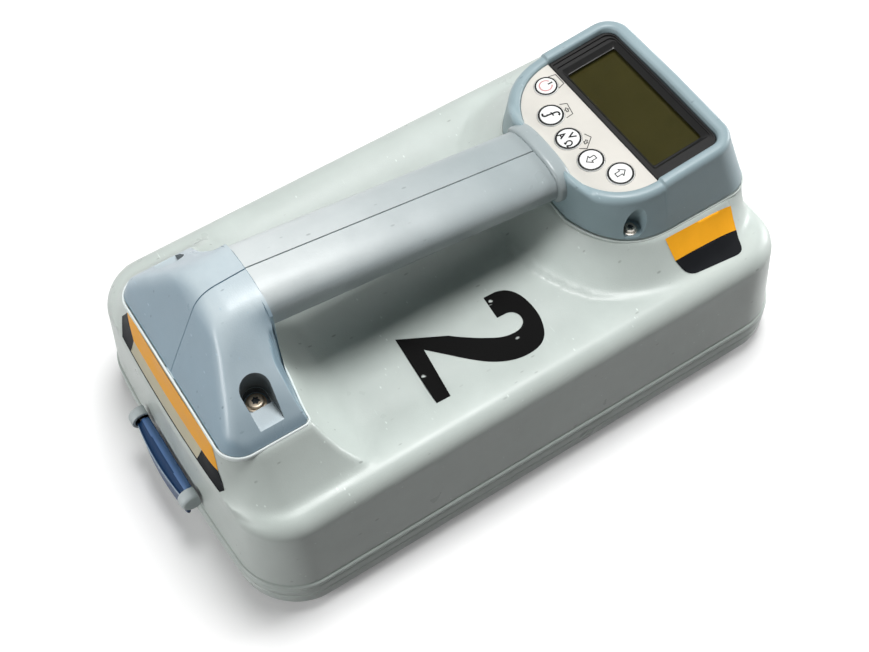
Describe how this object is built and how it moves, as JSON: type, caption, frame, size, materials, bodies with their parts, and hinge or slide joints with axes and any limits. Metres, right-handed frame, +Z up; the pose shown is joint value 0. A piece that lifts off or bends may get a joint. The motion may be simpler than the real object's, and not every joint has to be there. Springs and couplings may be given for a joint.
{
  "type": "cable_locator_transmitter",
  "caption": "Portable signal transmitter of a cable locator: moulded grey housing with arched handle, display head with keys, latch and battery tray.",
  "frame": {"origin": "middle of the bounding box at the ground, under the rubber feet", "axes": "+Z up, +Y towards the display end, +X to the user's right when reading the display"},
  "size_m": [0.1896, 0.3337, 0.1461],
  "materials": {
    "housing_plastic": "satin moulded light grey-green with fine wear",
    "handle_plastic": "satin moulded light blue-grey",
    "head_plastic": "satin moulded blue-grey",
    "bezel_plastic": "black, glossy round the display",
    "window_glass": "clear window over an olive display",
    "lcd_film": "olive liquid crystal panel, switched off",
    "membrane_film": "beige-silver film",
    "key_plastic": "white keys with black rings",
    "latch_plastic": "blue moulded lever",
    "steel": "plain screws, pins and contacts",
    "hinge_steel": "grey painted hinge leaves",
    "foot_rubber": "black rubber",
    "cell_steel": "bare jacketed cells without print",
    "circuit_board": "green board",
    "chassis_plastic": "dark grey moulded plate",
    "cable_plastic": "grey flat cable",
    "copper_wire": "enamelled copper wire",
    "ferrite": "dark ceramic rod"
  },
  "bodies": {
    "housing": {"upper_housing": "housing_plastic", "handle_left": "handle_plastic", "handle_right": "handle_plastic", "handle_screws": "steel", "head_housing": "head_plastic", "head_screws": "steel", "display_frame": "bezel_plastic", "display_window": "window_glass", "lcd_panel": "lcd_film", "keypad_membrane": "membrane_film", "keypad_board": "circuit_board", "chassis": "chassis_plastic", "main_board": "circuit_board", "ribbon_cable": "cable_plastic", "sounder": "bezel_plastic", "output_transformer": "copper_wire", "ferrite_core": "ferrite", "induction_winding": "copper_wire", "socket_panel": "bezel_plastic", "housing_hinge_leaf": "hinge_steel", "hinge_pin": "steel", "latch_bracket": "housing_plastic", "latch_pin": "steel"},
    "tray": {"base_tray": "housing_plastic", "tray_feet": "foot_rubber", "tray_hinge_leaf": "hinge_steel", "cell_cradle": "bezel_plastic", "battery_cells": "cell_steel", "battery_contacts": "steel"},
    "latch": {"latch_lever": "latch_plastic"},
    "power_key": {"key_power": "key_plastic"},
    "frequency_key": {"key_frequency": "key_plastic"},
    "measure_key": {"key_measure": "key_plastic"},
    "down_key": {"key_down": "key_plastic"},
    "up_key": {"key_up": "key_plastic"}
  },
  "joints": [
    {"name": "tray_swing", "type": "hinge", "parent": "housing", "child": "tray", "pos_m": [0, 0.16305, 0.02], "axis": [1, 0, 0], "range_deg": [0, 75]},
    {"name": "latch_turn", "type": "hinge", "parent": "housing", "child": "latch", "pos_m": [0, -0.16085, 0.034], "axis": [-1, 0, 0], "range_deg": [0, 95]},
    {"name": "power_press", "type": "slide", "parent": "housing", "child": "power_key", "axis": [0, 0.0906, -0.9959], "range_m": [0, 0.0006], "stiffness_N_per_m": 1500},
    {"name": "frequency_press", "type": "slide", "parent": "housing", "child": "frequency_key", "axis": [0, 0.0906, -0.9959], "range_m": [0, 0.0006], "stiffness_N_per_m": 1500},
    {"name": "measure_press", "type": "slide", "parent": "housing", "child": "measure_key", "axis": [0, 0.0906, -0.9959], "range_m": [0, 0.0006], "stiffness_N_per_m": 1500},
    {"name": "down_press", "type": "slide", "parent": "housing", "child": "down_key", "axis": [0, 0.0906, -0.9959], "range_m": [0, 0.0006], "stiffness_N_per_m": 1500},
    {"name": "up_press", "type": "slide", "parent": "housing", "child": "up_key", "axis": [0, 0.0906, -0.9959], "range_m": [0, 0.0006], "stiffness_N_per_m": 1500}
  ]
}
